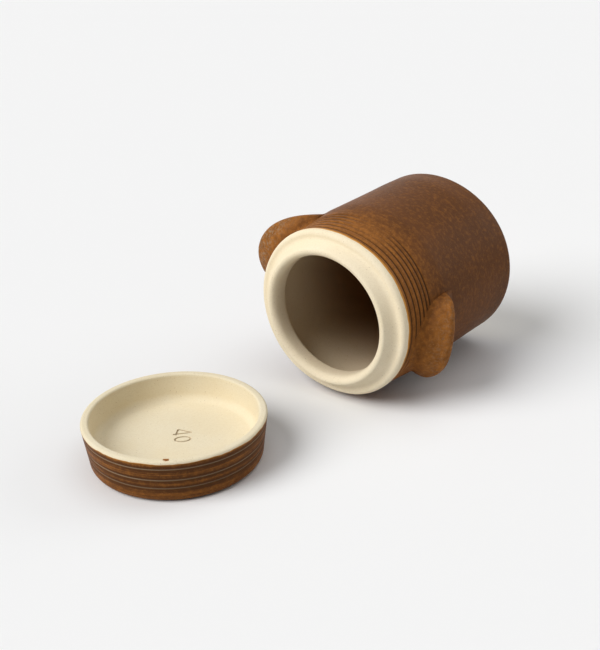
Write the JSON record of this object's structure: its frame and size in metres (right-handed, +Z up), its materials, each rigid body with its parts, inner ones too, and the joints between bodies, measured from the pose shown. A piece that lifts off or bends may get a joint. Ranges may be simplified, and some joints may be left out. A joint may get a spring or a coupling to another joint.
{
  "type": "lidded stoneware crock",
  "caption": "Salt-glazed stoneware crock lying on its side, with ear lugs, a bare collared rim, and its cap lid taken off and set upside down beside it.",
  "frame": {"origin": "middle of the whole part's footprint, on the table", "axes": "+Z up; +Y along the lying jar's axis from its mouth to its foot; +X to the jar's right as seen looking into its mouth"},
  "size_m": [0.1342, 0.2374, 0.096],
  "materials": {
    "salt_glaze": "gloss",
    "bare_stoneware": "matte"
  },
  "bodies": {
    "jar": {"jar_body": "salt_glaze", "left_lug": "salt_glaze", "right_lug": "salt_glaze"},
    "lid": {"lid": "bare_stoneware"}
  },
  "joints": [
    {"name": "lid_lift", "type": "slide", "parent": "jar", "child": "lid", "axis": [0, 0, 1], "range_m": [0, 0.12]}
  ]
}
